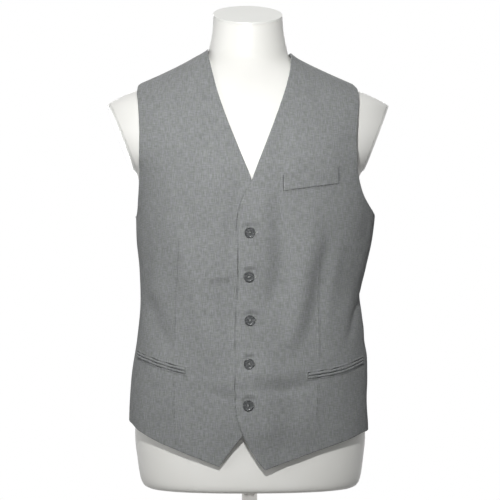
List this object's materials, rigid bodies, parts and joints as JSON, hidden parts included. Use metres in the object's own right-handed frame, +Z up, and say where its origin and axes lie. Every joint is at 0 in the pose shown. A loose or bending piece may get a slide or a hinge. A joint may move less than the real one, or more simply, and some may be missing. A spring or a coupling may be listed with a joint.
{
  "type": "tailored waistcoat on dress form with stand",
  "caption": "Tailored single-breasted waistcoat, buttoned over a smooth limbless dress form on a short pole and round base.",
  "frame": {"origin": "on the surface that the base stands on, on the axis of the pole", "axes": "+Z up, -Y the way the front of the waistcoat faces, +X towards the wearer's left"},
  "size_m": [0.436, 0.29, 0.8884],
  "materials": {
    "suiting": "plain-weave grey wool suiting, matt",
    "pocket_trim": "the same suiting, cut as a welt and jets",
    "buttons": "dark grey horn-look resin, satin gloss",
    "form_shell": "smooth off-white shell, soft gloss",
    "form_cap": "smooth off-white end plates",
    "stand_metal": "polished chrome"
  },
  "bodies": {
    "root": {"base_plate": "stand_metal", "pole_boss": "stand_metal", "pole": "stand_metal", "form_socket": "stand_metal", "form_torso": "form_shell", "neck_cap": "form_cap", "arm_plate_left": "form_cap", "arm_plate_right": "form_cap", "front_left": "suiting", "front_right": "suiting", "back_left": "suiting", "back_right": "suiting", "chest_welt": "pocket_trim", "hip_jet_lower_left": "pocket_trim", "hip_jet_upper_left": "pocket_trim", "hip_jet_lower_right": "pocket_trim", "hip_jet_upper_right": "pocket_trim", "button_1": "buttons", "button_2": "buttons", "button_3": "buttons", "button_4": "buttons", "button_5": "buttons"}
  },
  "joints": []
}
